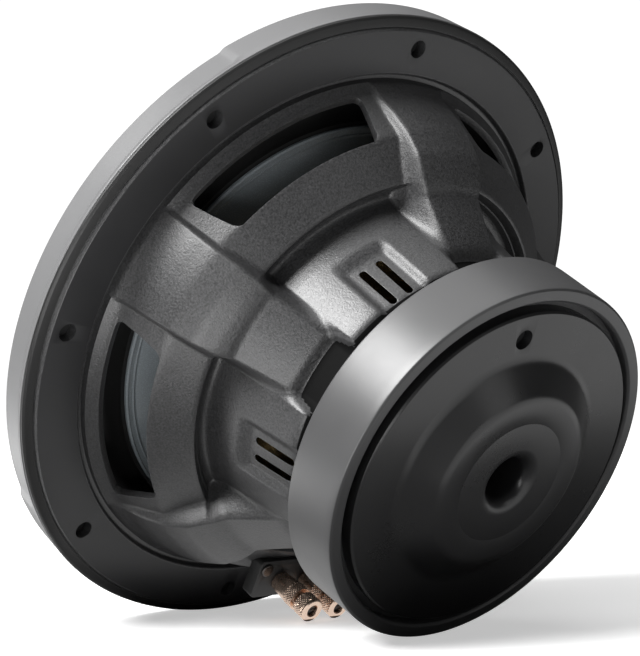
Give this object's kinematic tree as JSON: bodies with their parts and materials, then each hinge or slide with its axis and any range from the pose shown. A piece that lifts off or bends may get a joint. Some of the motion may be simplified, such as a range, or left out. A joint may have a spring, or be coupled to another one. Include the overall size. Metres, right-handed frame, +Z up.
{
  "type": "car subwoofer driver",
  "caption": "Car subwoofer driver: cast basket with open windows, cone on a rubber surround, booted ferrite magnet with a bumped vented back plate, and push terminals.",
  "frame": {"origin": "on the surface the driver lies on, under the middle of its box", "axes": "+Z up; the driver lies on the rim of its trim ring and the heel of its magnet boot, its cone faces -Y and up, its magnet is at +Y, and +X is across the flange"},
  "size_m": [0.2706, 0.2106, 0.243],
  "materials": {
    "basket_black": "fine speckled satin black powder coat on cast metal",
    "trim_grey": "smooth satin grey moulded rubber",
    "boot_grey": "satin grey rubber sleeve",
    "gasket_black": "smooth black rubber",
    "plate_black": "smooth satin black coated steel",
    "steel_bare": "bright zinc plated steel",
    "ferrite": "dark grey sintered ferrite",
    "cone_poly": "glossy dark blue-grey injection moulded cone",
    "surround_rubber": "matt black butyl rubber",
    "spider_cloth": "impregnated woven cotton, amber",
    "former_sheet": "thin rolled aluminium sheet",
    "copper_wire": "enamelled copper round wire, close wound",
    "terminal_gold": "polished rose gold plated brass, knurled",
    "base_plastic": "black glass filled nylon",
    "spring_steel": "spring steel wire",
    "lead_braid": "braided copper tinsel lead"
  },
  "bodies": {
    "frame": {"basket": "basket_black", "frame_screws": "steel_bare", "trim_ring": "trim_grey", "flange_gasket": "gasket_black", "surround": "surround_rubber", "spider": "spider_cloth", "top_plate": "plate_black", "magnet": "ferrite", "back_plate": "plate_black", "pole_piece": "plate_black", "magnet_boot": "boot_grey", "terminal_base": "base_plastic", "terminal_base_rivets": "steel_bare", "terminal_body_positive": "terminal_gold", "terminal_screw_positive": "terminal_gold", "terminal_spring_positive": "spring_steel", "lead_lug_positive": "terminal_gold", "tinsel_lead_positive": "lead_braid", "terminal_body_negative": "terminal_gold", "terminal_screw_negative": "terminal_gold", "terminal_spring_negative": "spring_steel", "lead_lug_negative": "terminal_gold", "tinsel_lead_negative": "lead_braid"},
    "moving_system": {"cone": "cone_poly", "dust_cap": "cone_poly", "voice_coil_former": "former_sheet", "voice_coil_winding": "copper_wire"},
    "push_cap_positive": {"terminal_cap_positive": "terminal_gold"},
    "push_cap_negative": {"terminal_cap_negative": "terminal_gold"}
  },
  "joints": [
    {"name": "cone_travel", "type": "slide", "parent": "frame", "child": "moving_system", "axis": [0, -0.8767, 0.4811], "range_m": [-0.008, 0.008], "stiffness_N_per_m": 3000, "deforming": ["surround", "spider", "tinsel_lead_positive", "tinsel_lead_negative"]},
    {"name": "push_cap_positive", "type": "slide", "parent": "frame", "child": "push_cap_positive", "axis": [0, -0.8767, 0.4811], "range_m": [0, 0.0018], "stiffness_N_per_m": 1500, "springref_m": -0.001, "deforming": ["terminal_spring_positive"]},
    {"name": "push_cap_negative", "type": "slide", "parent": "frame", "child": "push_cap_negative", "axis": [0, -0.8767, 0.4811], "range_m": [0, 0.0018], "stiffness_N_per_m": 1500, "springref_m": -0.001, "deforming": ["terminal_spring_negative"]}
  ]
}
